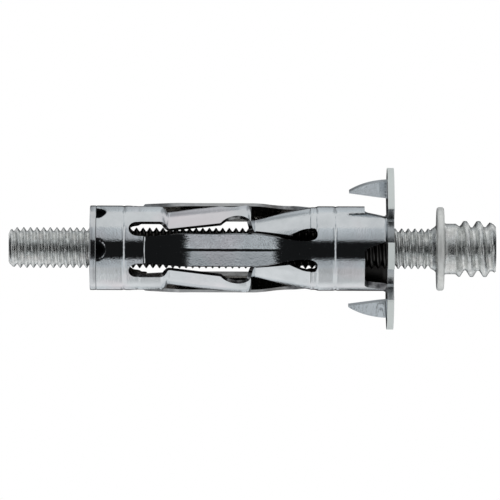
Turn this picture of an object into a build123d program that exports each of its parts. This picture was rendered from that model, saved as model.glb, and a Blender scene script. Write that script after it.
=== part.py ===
"""Metal hollow wall anchor, M5 x 37, with a combination stud.

The anchor lies along X.  Its flange bears on the wall in the plane x = 0, the
slotted sleeve reaches into the cavity along -X and the coarse clip thread of
the stud stands in the room along +X.  Lengths are in millimetres.

Three loose pieces: the sleeve (one sheet part), the nut pressed into its far
end, and the stud that the nut carries.
"""
from build123d import *
import math
import os

# Sleeve: sheet, tube and lengths along the axis; the legs are drawn thinner
sheet = 0.8
leg_sheet = 0.5
tube_radius = 5.1
throat_length = 2.7
front_ring_length = 5.6
leg_length = 22.8
housing_length = 3.9
bead_depth = 0.09
bead_width = 0.5
housing_bead_gap = 0.6
throat_bead_gap = 3.5

# Six legs, three flat and three kinked in turn, with slots between them
legs_of_a_kind = 3
slot_width = 1.85
keyhole_width = 1.7
keyhole_length = 1.9
keyhole_angle = 23.0

# Flat legs: a panel tangent to the tube, creased down the middle
flat_leg_rise = 0.05
flat_leg_start = 1.8
flat_leg_width = 3.92
flat_leg_flare = 6.0
flat_leg_taper = 6.7
crease_start = 4.9
crease_end = 2.9
crease_run_out = 2.6
crease_depth = 0.55
crease_least = 0.02

# Kinked legs: a dip by the root, a long ramp, a proud knee, a steep step inwards
dip_start = 4.2
dip_run = 0.6
dip_depth = 0.7
knee_rise = 0.35
knee_start = 9.3
knee_length = 1.2
step_run = 0.6
step_depth = 1.45
kinked_leg_width = 3.6
scallop_depth = 0.85
scallop_length = 3.6
heel_width = 2.6
shovel_width = 5.0
shovel_run = 4.1
heel_land = 0.3

# Throat and flange
flange_radius = 9.75
throat_cut = 0.3
neck_base_angle = 28.0
neck_angle = 17.0
window_corner = 0.5
window_hem_radius = 5.4
notch_clock = -2.4
notch_angle = 22.5
notch_half_angle = 13.0
notch_floor_radius = 6.2
notch_corner = 0.8

# Claws lanced out of the flange
claw_count = 2
claw_clock = 76.0
claw_inner_radius = 6.45
claw_outer_radius = 8.6
claw_length = 4.6
claw_point = 0.15
claw_bend = 0.1

# Nut
nut_flange_thickness = 0.8
nut_rim_chamfer = 0.25
nut_body_length = 3.4
nut_fit_clearance = 0.02
thread_clearance = 0.05
stake_radius = 1.2
stake_depth = 0.35
stake_angles = (0.0, 60.0, 180.0, 240.0)

# Stud
metric_radius = 2.45
tip_beyond_nut = 9.8
tip_chamfer = 0.5
collar_gap = 5.2
cone_length = 0.45
cone_radius = 2.85
collar_radius = 5.05
collar_thickness = 0.9
collar_chamfer = 0.25
neck_radius = 3.05
neck_length = 1.4
clip_core_radius = 2.6
clip_crest_radius = 3.4
clip_length = 4.85
clip_pitch = 1.6
clip_ridge_foot = 1.1
clip_ridge_top = 0.45
clip_end_chamfer = 0.3
clip_sink = 0.3
recess_radius = 1.95
recess_waist_radius = 1.35
recess_lobes = 6
recess_depth = 2.0

# Reach of one leg past its own ends, inside the sheet it joins
leg_overlap = 0.4

# Stations along the axis, and radii that follow from the sizes above
mid_radius = tube_radius - sheet / 2
bore_radius = tube_radius - sheet
plate_middle = sheet / 2
ring_front = -throat_length
ring_back = ring_front - front_ring_length
leg_root = ring_back - leg_length
sleeve_end = leg_root - housing_length
leg_angle = 180.0 / legs_of_a_kind
slot_half = slot_width / 2
keyhole_half = keyhole_width / 2
root_half = tube_radius * math.sin(math.radians(leg_angle / 2)) - slot_half
flat_heel_half = tube_radius * math.sin(math.radians(keyhole_angle)) - keyhole_half
kinked_heel_half = tube_radius * math.sin(math.radians(leg_angle - keyhole_angle)) - keyhole_half
reach = 2 * tube_radius
panel_start = leg_root + flat_leg_start
keyhole_back = ring_back - keyhole_length

flat_leg_angles = [2 * leg_angle * count for count in range(legs_of_a_kind)]
kinked_leg_angles = [angle + leg_angle for angle in flat_leg_angles]
slot_angles = [angle + side * leg_angle / 2 for angle in flat_leg_angles for side in (-1, 1)]
keyhole_angles = [angle + side * keyhole_angle for angle in flat_leg_angles for side in (-1, 1)]
neck_angles = [angle + leg_angle / 2 for angle in flat_leg_angles]
window_angles = [neck_angles[0] + side * leg_angle for side in (-1, 1)]
claw_angles = [claw_clock + 360.0 * count / claw_count for count in range(claw_count)]
notch_angles = [notch_clock + turn + side * notch_angle for turn in (0.0, 180.0) for side in (-1, 1)]


def turned(angles):
    """Turns about the axis for copies of a shape drawn towards +Y; angle 0 is the front, -Y."""
    return [Location((0, 0, 0), (180.0 - angle, 0, 0)) for angle in angles]


def both_sides(points):
    """The closed outline whose upper half is given, mirrored in the axis."""
    return points + [(x, -z) for x, z in reversed(points)]


def polar(radius, angle):
    """A point of the flange's plane, with the angle measured from +Y."""
    return (radius * math.cos(math.radians(angle)), radius * math.sin(math.radians(angle)))


# ---------------------------------------------------------------- sleeve
# Flat leg, drawn towards +Y
panel_outer = tube_radius + flat_leg_rise
flat_outline = [
    (panel_start, root_half),
    (leg_root + flat_leg_flare, flat_leg_width / 2),
    (ring_back - flat_leg_taper, flat_leg_width / 2),
    (keyhole_back, flat_heel_half),
    (ring_back, flat_heel_half),
]
crease_sections = [
    (leg_root + crease_start, crease_least),
    (leg_root + crease_start + crease_run_out, 1.0),
    (ring_back - crease_end - crease_run_out, 1.0),
    (ring_back - crease_end, crease_least),
]
with BuildPart() as crease:
    for station, share in crease_sections:
        with BuildSketch(Plane.YZ.offset(station)):
            with BuildLine():
                Polyline(
                    (panel_outer + share * crease_depth, -flat_leg_width),
                    (panel_outer - share * crease_depth, 0),
                    (panel_outer + share * crease_depth, flat_leg_width),
                    close=True,
                )
            make_face()
    loft(ruled=True)

with BuildPart() as flat_leg:
    with BuildSketch(Plane.XZ.offset(-panel_outer)):
        with Locations((leg_root + leg_length / 2, 0)):
            Rectangle(leg_length, 2 * flat_leg_width)
    extrude(amount=leg_sheet)
    with Locations((0, -leg_sheet, 0)):
        add(crease.part)
    add(crease.part, mode=Mode.SUBTRACT)
    with BuildSketch(Plane.XZ):
        with BuildLine():
            Polyline(both_sides(flat_outline), close=True)
        make_face()
    extrude(amount=-reach, mode=Mode.INTERSECT)

# Kinked legs: the folded line turned about the axis, then cut to the legs' outlines
dip = leg_root + dip_start + dip_run
knee = ring_back - knee_start
step = knee + knee_length
foot = step + step_run
folds = [
    (panel_start - leg_overlap, tube_radius),
    (dip - dip_run, tube_radius),
    (dip, tube_radius - dip_depth),
    (knee, tube_radius + knee_rise),
    (step, tube_radius + knee_rise),
    (foot, tube_radius - step_depth),
    (ring_back - heel_land, tube_radius),
    (ring_back + leg_overlap, tube_radius),
]
with BuildPart() as folded_tube:
    with BuildSketch():
        with BuildLine():
            Polyline(folds)
            offset(amount=leg_sheet, side=Side.RIGHT, kind=Kind.INTERSECTION)
        make_face()
    revolve(axis=Axis.X)

kinked_outline = [
    (panel_start - leg_overlap, root_half),
    (dip - dip_run, root_half),
    (dip, kinked_leg_width / 2),
    (step, kinked_leg_width / 2),
    (foot, heel_width / 2),
    (foot + shovel_run, shovel_width / 2),
    (keyhole_back, kinked_heel_half),
    (ring_back + leg_overlap, kinked_heel_half),
]
scallop_middle = step - scallop_length / 2
scallop_radius = (scallop_length**2 / 4 + scallop_depth**2) / (2 * scallop_depth)
with BuildPart() as kinked_plan:
    with BuildSketch(Plane.XZ):
        with BuildLine():
            Polyline(both_sides(kinked_outline), close=True)
        make_face()
        scallop_offset = kinked_leg_width / 2 - scallop_depth + scallop_radius
        with Locations((scallop_middle, scallop_offset), (scallop_middle, -scallop_offset)):
            Circle(scallop_radius, mode=Mode.SUBTRACT)
    extrude(amount=-reach)
with BuildPart() as kinked_plans:
    with Locations(*turned(kinked_leg_angles)):
        add(kinked_plan.part)

with BuildPart() as kinked_legs:
    add(folded_tube.part)
    add(kinked_plans.part, mode=Mode.INTERSECT)

# Beads rolled into the tube: shallow V grooves all round
with BuildPart() as beads:
    with BuildSketch():
        for station in (leg_root - housing_bead_gap, ring_front - throat_bead_gap):
            with BuildLine():
                Polyline(
                    (station - bead_width, tube_radius + bead_depth),
                    (station, tube_radius - bead_depth),
                    (station + bead_width, tube_radius + bead_depth),
                    close=True,
                )
            make_face()
    revolve(axis=Axis.X)

# Housing of the nut, with the round ends of the slots and the staking marks
with BuildPart() as slot_end:
    with BuildSketch(Plane.XZ.offset(-bore_radius / 2)):
        with Locations((leg_root + slot_half, 0)):
            Circle(slot_half)
        with Locations((leg_root + slot_half + leg_length / 2, 0)):
            Rectangle(leg_length, slot_width)
    extrude(amount=-reach)
with BuildPart() as stake:
    with BuildSketch(Plane.XZ.offset(-(tube_radius - stake_depth))):
        with Locations((sleeve_end, 0)):
            Circle(stake_radius)
    extrude(amount=-reach)
housing_length_in_all = panel_start + leg_overlap - sleeve_end
with BuildPart() as housing:
    with BuildSketch():
        with Locations((sleeve_end + housing_length_in_all / 2, mid_radius)):
            Rectangle(housing_length_in_all, sheet)
    revolve(axis=Axis.X)
    with Locations(*turned(slot_angles)):
        add(slot_end.part, mode=Mode.SUBTRACT)
    with Locations(*turned(stake_angles)):
        add(stake.part, mode=Mode.SUBTRACT)
    add(beads.part, mode=Mode.SUBTRACT)

# Front ring, throat and flange, folded from one line
with BuildPart() as keyhole:
    with BuildSketch(Plane.XZ.offset(-bore_radius / 2)):
        with Locations((ring_back - keyhole_half, 0)):
            Circle(keyhole_half)
        with Locations((ring_back - keyhole_half - leg_length / 2, 0)):
            Rectangle(leg_length, keyhole_width)
    extrude(amount=-reach)

# Room in the front ring for the sloping heel of a kinked leg
with BuildPart() as leg_seat:
    with BuildSketch(Plane.XZ.offset(-bore_radius / 2)):
        with Locations((keyhole_back, 0)):
            Rectangle(2 * keyhole_length, 2 * kinked_heel_half + keyhole_half)
    extrude(amount=-reach)

window_base_half = tube_radius * math.sin(math.radians(leg_angle - neck_base_angle))
window_mouth_half = tube_radius * math.sin(math.radians(leg_angle - neck_angle))
with BuildPart() as window:
    with BuildSketch(Plane.XZ.offset(-bore_radius / 2)) as window_outline:
        with BuildLine():
            Polyline(
                both_sides([(ring_front, window_base_half), (0, window_mouth_half), (reach, window_mouth_half)]),
                close=True,
            )
        make_face()
        fillet(window_outline.vertices().group_by(Axis.X)[0], radius=window_corner)
    extrude(amount=-reach)
    Cylinder(window_hem_radius, 2 * reach, rotation=(0, 90, 0), mode=Mode.INTERSECT)

with BuildPart() as notch:
    with BuildSketch(Plane.YZ) as notch_outline:
        with BuildLine():
            Polyline(
                polar(notch_floor_radius, -notch_half_angle),
                polar(notch_floor_radius, notch_half_angle),
                polar(reach + flange_radius, notch_half_angle),
                polar(reach + flange_radius, -notch_half_angle),
                close=True,
            )
        make_face()
        fillet(notch_outline.vertices().group_by(Axis.X)[0], radius=notch_corner)
    extrude(amount=reach, both=True)

# Claw, drawn towards +Y: a tab folded out of the plate and cut to a thorn's outline
claw_fold = sheet / 2 + claw_bend


def claw_edge(distance):
    """How far out the claw's curved edge lies at a distance from the fold."""
    return math.sqrt(claw_outer_radius**2 - distance**2)


with BuildPart() as claw:
    with BuildSketch(Plane.XZ):
        with BuildLine():
            FilletPolyline(
                (plate_middle, 2 * sheet),
                (plate_middle, 0),
                (-claw_length, 0),
                radius=claw_fold,
            )
        trace(line_width=sheet)
    extrude(amount=-flange_radius)
    with BuildSketch():
        with BuildLine():
            ThreePointArc(
                (0, claw_outer_radius),
                (-claw_length / 2, claw_edge(claw_length / 2)),
                (-claw_length, claw_edge(claw_length)),
            )
            Polyline(
                (-claw_length, claw_edge(claw_length)),
                (-claw_length, claw_edge(claw_length) - claw_point),
                (0, claw_inner_radius),
                (sheet, claw_inner_radius),
                (sheet, claw_outer_radius),
                (0, claw_outer_radius),
            )
        make_face()
    extrude(amount=reach, both=True, mode=Mode.INTERSECT)

lance_length = claw_length + sheet / 2
with BuildPart() as lance_hole:
    with BuildSketch(Plane.YZ):
        with BuildLine():
            ThreePointArc(
                (claw_outer_radius, 0),
                (claw_edge(lance_length / 2), -lance_length / 2),
                (claw_edge(lance_length), -lance_length),
            )
            Polyline(
                (claw_edge(lance_length), -lance_length),
                (claw_edge(lance_length) - claw_point, -lance_length),
                (claw_inner_radius, -sheet / 2),
                (claw_inner_radius, claw_fold),
                (claw_outer_radius, claw_fold),
                (claw_outer_radius, 0),
            )
        make_face()
    extrude(amount=2 * sheet, both=True)

with BuildPart() as front:
    with BuildSketch():
        with BuildLine():
            Polyline(
                (keyhole_back, tube_radius),
                (-throat_cut, tube_radius),
                (0, tube_radius + throat_cut),
                (0, flange_radius),
            )
            offset(amount=sheet, side=Side.RIGHT, kind=Kind.INTERSECTION)
        make_face()
    revolve(axis=Axis.X)
    with Locations(*turned(keyhole_angles)):
        add(keyhole.part, mode=Mode.SUBTRACT)
    with Locations(*turned(kinked_leg_angles)):
        add(leg_seat.part, mode=Mode.SUBTRACT)
    with Locations(*turned(window_angles)):
        add(window.part, mode=Mode.SUBTRACT)
    with Locations(*turned(notch_angles)):
        add(notch.part, mode=Mode.SUBTRACT)
    add(beads.part, mode=Mode.SUBTRACT)
    with Locations(*turned(claw_angles)):
        add(lance_hole.part, mode=Mode.SUBTRACT)
        add(claw.part)

with BuildPart() as sleeve:
    add(housing.part)
    add(front.part)
    add(kinked_legs.part)
    with Locations(*turned(flat_leg_angles)):
        add(flat_leg.part)
sleeve.part.label = "sleeve"

# ---------------------------------------------------------------- nut
nut_bore = metric_radius + thread_clearance
nut_body_radius = bore_radius - nut_fit_clearance
nut_back = sleeve_end - nut_flange_thickness
with BuildPart() as nut:
    with BuildSketch():
        with BuildLine():
            Polyline(
                (nut_back, nut_bore),
                (nut_back, tube_radius),
                (sleeve_end, tube_radius),
                (sleeve_end, nut_body_radius),
                (sleeve_end + nut_body_length, nut_body_radius),
                (sleeve_end + nut_body_length, nut_bore),
                close=True,
            )
        make_face()
    revolve(axis=Axis.X)
    rim = nut.edges().filter_by(GeomType.CIRCLE).sort_by(Axis.X)[:2].sort_by(SortBy.RADIUS)[-1]
    chamfer(rim, length=nut_rim_chamfer)
nut.part.label = "nut"

# ---------------------------------------------------------------- stud
stud_tip = nut_back - tip_beyond_nut
collar_back = sheet + collar_gap
collar_front = collar_back + collar_thickness
clip_back = collar_front + neck_length
stud_end = clip_back + clip_length

# Clip thread: a blunt ridge swept along a helix and trimmed by a cone at the free end
clip_ridge_start = clip_back + clip_ridge_foot / 2
clip_ridge_length = clip_length - clip_end_chamfer - clip_ridge_foot
clip_half_foot = clip_ridge_foot / 2
clip_half_top = clip_ridge_top / 2
clip_height = clip_crest_radius - clip_core_radius
with BuildPart() as clip_thread:
    with BuildLine() as clip_path:
        Helix(
            pitch=clip_pitch,
            height=clip_ridge_length,
            radius=clip_core_radius,
            center=(clip_ridge_start, 0, 0),
            direction=(1, 0, 0),
        )
    ridge_start = clip_path.line @ 0
    outward = Vector(0, ridge_start.Y, ridge_start.Z)
    with BuildSketch(Plane(ridge_start, x_dir=outward, z_dir=clip_path.line % 0)):
        with BuildLine():
            Polyline(
                (-clip_sink, -clip_half_foot),
                (clip_height, -clip_half_top),
                (clip_height, clip_half_top),
                (-clip_sink, clip_half_foot),
                close=True,
            )
        make_face()
    sweep(path=clip_path.line, is_frenet=True)

recess_corners = [
    (radius * math.cos(math.pi * count / recess_lobes), radius * math.sin(math.pi * count / recess_lobes))
    for count, radius in enumerate([recess_radius, recess_waist_radius] * recess_lobes)
]
with BuildPart() as screw:
    with BuildSketch():
        with BuildLine():
            Polyline(
                (stud_tip, 0),
                (stud_tip, metric_radius - tip_chamfer),
                (stud_tip + tip_chamfer, metric_radius),
                (collar_back - cone_length, metric_radius),
                (collar_back, cone_radius),
                (collar_back, collar_radius),
                (collar_front, collar_radius),
                (collar_front, neck_radius),
                (clip_back, neck_radius),
                (clip_back, clip_core_radius),
                (stud_end - clip_end_chamfer, clip_core_radius),
                (stud_end, clip_core_radius - clip_end_chamfer),
                (stud_end, 0),
                close=True,
            )
        make_face()
    revolve(axis=Axis.X)
    collar_rims = screw.edges().filter_by(GeomType.CIRCLE).group_by(SortBy.RADIUS)[-1]
    chamfer(collar_rims, length=collar_chamfer)
    add(clip_thread.part)
    with BuildSketch(Plane.YZ.offset(stud_end)):
        with BuildLine():
            Polyline(recess_corners, close=True)
        make_face()
    extrude(amount=-recess_depth, mode=Mode.SUBTRACT)
screw.part.label = "screw"

os.makedirs("parts", exist_ok=True)
export_step(sleeve.part, "parts/sleeve.step")
export_step(nut.part, "parts/nut.step")
export_step(screw.part, "parts/screw.step")
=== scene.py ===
"""Looks of a metal hollow wall anchor: slotted sleeve, pressed-in nut and combination stud.

The anchor lies along X with its axis through the origin.  The flange bears on the
wall in the plane x = 0, the sleeve reaches into the cavity along -X and the coarse
clip thread stands in the room along +X.  Sizes in the classes are in millimetres and
are turned into metres where a mesh is made.  A clock angle is counted about X from
the front, -Y, and grows upwards.
"""

import logging
import math
from dataclasses import dataclass, field
from enum import Enum

import bmesh
import bpy
import numpy as np
from mathutils import Euler, Matrix

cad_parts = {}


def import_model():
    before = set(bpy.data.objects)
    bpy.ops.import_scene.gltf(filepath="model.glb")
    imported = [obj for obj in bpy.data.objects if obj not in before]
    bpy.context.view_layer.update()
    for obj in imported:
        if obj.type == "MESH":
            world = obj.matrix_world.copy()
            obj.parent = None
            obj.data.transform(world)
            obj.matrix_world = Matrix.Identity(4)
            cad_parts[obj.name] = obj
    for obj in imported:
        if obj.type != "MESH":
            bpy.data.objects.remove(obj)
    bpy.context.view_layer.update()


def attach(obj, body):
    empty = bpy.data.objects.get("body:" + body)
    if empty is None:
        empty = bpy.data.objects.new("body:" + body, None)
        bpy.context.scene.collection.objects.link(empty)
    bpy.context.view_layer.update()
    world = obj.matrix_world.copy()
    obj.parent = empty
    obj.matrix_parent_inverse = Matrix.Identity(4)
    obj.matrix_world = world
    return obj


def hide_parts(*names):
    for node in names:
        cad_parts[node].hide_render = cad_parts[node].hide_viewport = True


Array = np.ndarray
Pair = tuple[float, float]
Triple = tuple[float, float, float]
Piece = bpy.types.Object
Socket = bpy.types.NodeSocket
LOG = logging.getLogger("wall_anchor")
MM = 0.001
CUT_SHARE = 0.45
NEAR_DEGREES = 0.01


class Body(Enum):
    """Rigid bodies of the part."""

    ANCHOR = "anchor"
    STUD = "stud"


class Slot(Enum):
    """Material slots of the part's record."""

    SLEEVE = "sleeve_zinc"
    NUT = "nut_zinc"
    STUD = "stud_zinc"


# ---------------------------------------------------------------- numpy helpers
def around(x: Array, radius: Array, angle: Array) -> Array:
    """Points at a radius and clock angle: y = -radius cos(angle), z = radius sin(angle).

    Args:
        x: Stations along the axis.
        radius: Distances from the axis.
        angle: Clock angles in degrees.

    Returns:
        Points with a last axis of three, broadcast from the arguments.
    """
    turn = np.radians(angle)
    x, across, up = np.broadcast_arrays(x, -radius * np.cos(turn), radius * np.sin(turn))
    return np.stack([x, across, up], axis=-1)


def on_leg(x: Array, height: Array, side: Array, angle: float) -> Array:
    """Points of a leg in its own frame: height along its radius, side along its tangent.

    Args:
        x: Stations along the axis.
        height: Distances from the axis, square to the leg.
        side: Distances sideways from the leg's middle line.
        angle: Clock angle of the leg in degrees.

    Returns:
        Points with a last axis of three, broadcast from the arguments.
    """
    turn = math.radians(angle)
    x, height, side = np.broadcast_arrays(x, height, side)
    across = side * math.sin(turn) - height * math.cos(turn)
    up = side * math.cos(turn) + height * math.sin(turn)
    return np.stack([x, across, up], axis=-1)


def ease(value: Array, start: float, end: float) -> Array:
    """Smooth step: 0 before start, 1 after end, 3 s^2 - 2 s^3 between them.

    Args:
        value: Values to test.
        start: Value at which the step begins.
        end: Value at which the step is complete.

    Returns:
        The share of the step at each value.
    """
    share = np.clip((np.asarray(value, dtype=float) - start) / (end - start), 0.0, 1.0)
    return share * share * (3.0 - 2.0 * share)


def joined(*runs: Array) -> Array:
    """Runs of stations laid end to end, each run's first value dropped after the first run."""
    return np.concatenate([runs[0]] + [run[1:] for run in runs[1:]])


def banded(knots: tuple[float, ...], steps: tuple[int, ...]) -> Array:
    """Values from the first knot to the last, with a number of even steps for each band."""
    bands = zip(knots[:-1], knots[1:], steps)
    return joined(*[np.linspace(low, high, count + 1) for low, high, count in bands])


def off_clock(angle: Array, clock: float) -> Array:
    """Angles in degrees from a clock angle, between -180 and 180."""
    return (angle - clock + 180.0) % 360.0 - 180.0


def round_foot(into: Array) -> Array:
    """Share 1 - sqrt(1 - s^2) by which a round corner reaches out at a depth s into it."""
    return 1.0 - np.sqrt(1.0 - into**2)


def spread(knots: list[float], count: int) -> Array:
    """Divide a range into count steps so that each knot is one of the values.

    Args:
        knots: Rising values that the division has to meet.
        count: Number of steps in all.

    Returns:
        count + 1 values, evenly spaced between neighbouring knots.
    """
    spans = np.diff(knots)
    steps = np.maximum(1, np.round(count * spans / spans.sum())).astype(int)
    steps[np.argmax(steps)] += count - steps.sum()
    return banded(knots, steps)


def rounded_line(points: Array, cut: float, steps: int, spacing: float) -> Array:
    """A polyline whose corners are quadratic curves from cut before to cut after each corner.

    Args:
        points: Corners as rows of two coordinates.
        cut: Length taken off each straight at a corner, at most CUT_SHARE of the straight.
        steps: Steps along each corner's curve.
        spacing: Largest step along the straights.

    Returns:
        Points along the line as rows of two coordinates.
    """
    runs = np.diff(points, axis=0)
    lengths = np.linalg.norm(runs, axis=1)
    share = np.linspace(0.0, 1.0, steps + 1)[:, None]
    line = [points[:1]]
    for corner in range(1, len(points) - 1):
        back, ahead = np.minimum(cut / lengths[corner - 1 : corner + 1], CUT_SHARE)
        start = points[corner] - back * runs[corner - 1]
        end = points[corner] + ahead * runs[corner]
        middle = 2 * share * (1 - share) * points[corner]
        curve = (1 - share) ** 2 * start + middle + share**2 * end
        line += [straight(line[-1][-1], start, spacing), curve[1:]]
    line.append(straight(line[-1][-1], points[-1], spacing))
    return np.concatenate(line)


def straight(start: Array, end: Array, spacing: float) -> Array:
    """Points after start up to end, at most spacing apart."""
    count = max(1, math.ceil(float(np.linalg.norm(end - start)) / spacing))
    return start + (end - start) * np.linspace(0.0, 1.0, count + 1)[1:, None]


def inset_line(points: Array, distance: float) -> Array:
    """A polyline moved towards the axis by a distance, with mitred corners.

    Args:
        points: Corners as rows of station and radius, stations rising.
        distance: How far each straight moves, square to itself.

    Returns:
        The moved corners.
    """
    runs = np.diff(points, axis=0)
    normals = np.stack([runs[:, 1], -runs[:, 0]], axis=1)
    normals = normals / np.linalg.norm(runs, axis=1)[:, None]
    before = np.concatenate([normals[:1], normals])
    after = np.concatenate([normals, normals[-1:]])
    mitre = before + after
    return points + distance * mitre * (2.0 / np.sum(mitre * mitre, axis=1))[:, None]


class SheetMesh:
    """Quads gathered from several grids and welded into one surface."""

    def __init__(self) -> None:
        """Start with no points."""
        self.points: list[Array] = []
        self.quads: list[Array] = []
        self.count = 0

    def add(self, grid: Array, keep: Array | None = None) -> None:
        """Add a grid of points as quads.

        Args:
            grid: Points as rows, columns and three coordinates, in millimetres.
            keep: True for each cell that becomes a quad, or None for all of them.
        """
        rows, columns = grid.shape[:2]
        index = np.arange(rows * columns).reshape(rows, columns) + self.count
        around_cell = [index[:-1, :-1], index[:-1, 1:], index[1:, 1:], index[1:, :-1]]
        quads = np.stack(around_cell, axis=-1)
        self.quads.append(quads.reshape(-1, 4) if keep is None else quads[keep])
        self.points.append(grid.reshape(-1, 3))
        self.count += rows * columns

    def build(self, name: str, weld: float) -> Piece:
        """Weld the grids and put them into an object at the origin.

        Args:
            name: Name of the object and its mesh.
            weld: Distance in millimetres under which points become one.

        Returns:
            The new object, shaded smooth, with its faces turned outwards.
        """
        quads = np.concatenate(self.quads)
        used, order = np.unique(quads, return_inverse=True)
        quads = order.reshape(quads.shape)
        points = np.concatenate(self.points)[used] * MM
        mesh = bpy.data.meshes.new(name)
        mesh.vertices.add(len(points))
        mesh.vertices.foreach_set("co", points.ravel())
        mesh.loops.add(quads.size)
        mesh.loops.foreach_set("vertex_index", quads.ravel())
        mesh.polygons.add(len(quads))
        mesh.polygons.foreach_set("loop_start", np.arange(0, quads.size, 4))
        mesh.update(calc_edges=True)
        shape = bmesh.new()
        shape.from_mesh(mesh)
        bmesh.ops.remove_doubles(shape, verts=shape.verts, dist=weld * MM)
        bmesh.ops.dissolve_degenerate(shape, edges=shape.edges, dist=0.25 * weld * MM)
        bmesh.ops.recalc_face_normals(shape, faces=shape.faces)
        shape.to_mesh(mesh)
        shape.free()
        mesh.polygons.foreach_set("use_smooth", np.ones(len(mesh.polygons), dtype=bool))
        piece = bpy.data.objects.new(name, mesh)
        bpy.context.scene.collection.objects.link(piece)
        return piece


def write_field(piece: Piece, name: str, values: Array) -> None:
    """Store one number for each point of a piece as a named attribute."""
    layer = piece.data.attributes.new(name, "FLOAT", "POINT")
    layer.data.foreach_set("value", values.astype(np.float32))


def corners(piece: Piece) -> Array:
    """Points of a piece in millimetres, as rows of three coordinates."""
    flat = np.empty(3 * len(piece.data.vertices))
    piece.data.vertices.foreach_get("co", flat)
    return flat.reshape(-1, 3) / MM


# ---------------------------------------------------------------- sleeve
@dataclass(frozen=True)
class SleeveSizes:
    """Sizes of the sheet-metal sleeve, in millimetres and degrees."""

    sheet: float = 0.8
    leg_sheet: float = 0.5
    leg_fade: float = 0.6
    tube_radius: float = 5.1
    ring_front: float = -2.7
    ring_back: float = -8.3
    leg_root: float = -31.1
    sleeve_end: float = -35.0
    slot_half: float = 0.925
    keyhole_half: float = 0.85
    keyhole_angle: float = 23.0
    keyhole_length: float = 1.9
    leg_angle: float = 60.0
    bead_depth: float = 0.08
    bead_half: float = 0.17
    bead_stations: tuple[float, ...] = (-31.7, -6.2)
    stake_radius: float = 1.2
    stake_depth: float = 0.2
    stake_rim: float = 0.2
    stake_angles: tuple[float, ...] = (0.0, 60.0, 180.0, 240.0)
    edge_round: float = 0.07
    edge_angle: float = 50.0

    @property
    def middle(self) -> float:
        """Radius of the middle of the sheet in the tube."""
        return self.tube_radius - self.sheet / 2

    def clock_half(self, half_width: float) -> float:
        """Half angle in degrees that a half width takes on the tube's outside."""
        return math.degrees(math.asin(half_width / self.tube_radius))


@dataclass(frozen=True)
class FlatLegSizes:
    """Sizes of a creased flat leg, in millimetres."""

    rise: float = 0.05
    start: float = -29.15
    step: float = 0.07
    step_rows: int = 6
    end: float = -10.9
    end_run: float = 2.2
    half_width: float = 1.96
    flare_end: float = -25.1
    taper_start: float = -16.2
    taper_end: float = -9.8
    crease_depth: float = 0.55
    crease_start: float = -26.2
    crease_end: float = -11.2
    crease_run: float = 2.6


@dataclass(frozen=True)
class KinkedLegSizes:
    """Fold line and outline of a kinked leg, in millimetres."""

    folds: tuple[Pair, ...] = (
        (-31.0, 5.1),
        (-26.9, 5.1),
        (-26.3, 4.4),
        (-17.6, 5.45),
        (-16.4, 5.45),
        (-15.8, 3.65),
        (-8.6, 5.1),
        (-7.0, 5.1),
    )
    half_width: float = 1.8
    widen_start: float = -26.9
    widen_end: float = -26.3
    scallop_middle: float = -18.2
    scallop_half: float = 1.8
    scallop_depth: float = 0.85
    step: float = -16.4
    foot: float = -15.8
    heel_half: float = 1.3
    shovel: float = -11.7
    shovel_half: float = 2.5
    end_flare: float = 0.04
    lip_depth: float = 0.09
    lip_end: Pair = (-0.1, 0.02)
    lip_fade: float = 0.5
    bend_cut: float = 0.34
    bend_steps: int = 6


@dataclass(frozen=True)
class FlangeSizes:
    """Sizes of the throat, the flange and its claws, in millimetres and degrees."""

    plate_middle: float = 0.4
    radius: float = 9.75
    bend: float = 0.9
    neck_base: float = 28.0
    neck_mouth: float = 17.0
    window_corner: float = 0.5
    notch_clock: float = -2.4
    notch_angle: float = 22.5
    notch_half: float = 13.0
    notch_floor: float = 6.2
    notch_corner: float = 0.8
    notch_fade: float = 6.0
    claw_clocks: tuple[float, ...] = (76.0, 256.0)
    claw_inner: float = 6.45
    claw_outer: float = 8.6
    claw_length: float = 4.6
    claw_point: float = 0.15
    claw_bend: float = 0.5
    claw_twist: float = 5.0
    twist_run: float = 1.2
    lance_fade: float = 8.0
    plain_band: float = 6.7

    @property
    def notches(self) -> list[float]:
        """Clock angles of the four notches."""
        middles = (self.notch_clock, self.notch_clock + 180.0)
        return [middle + side * self.notch_angle for middle in middles for side in (-1, 1)]


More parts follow.
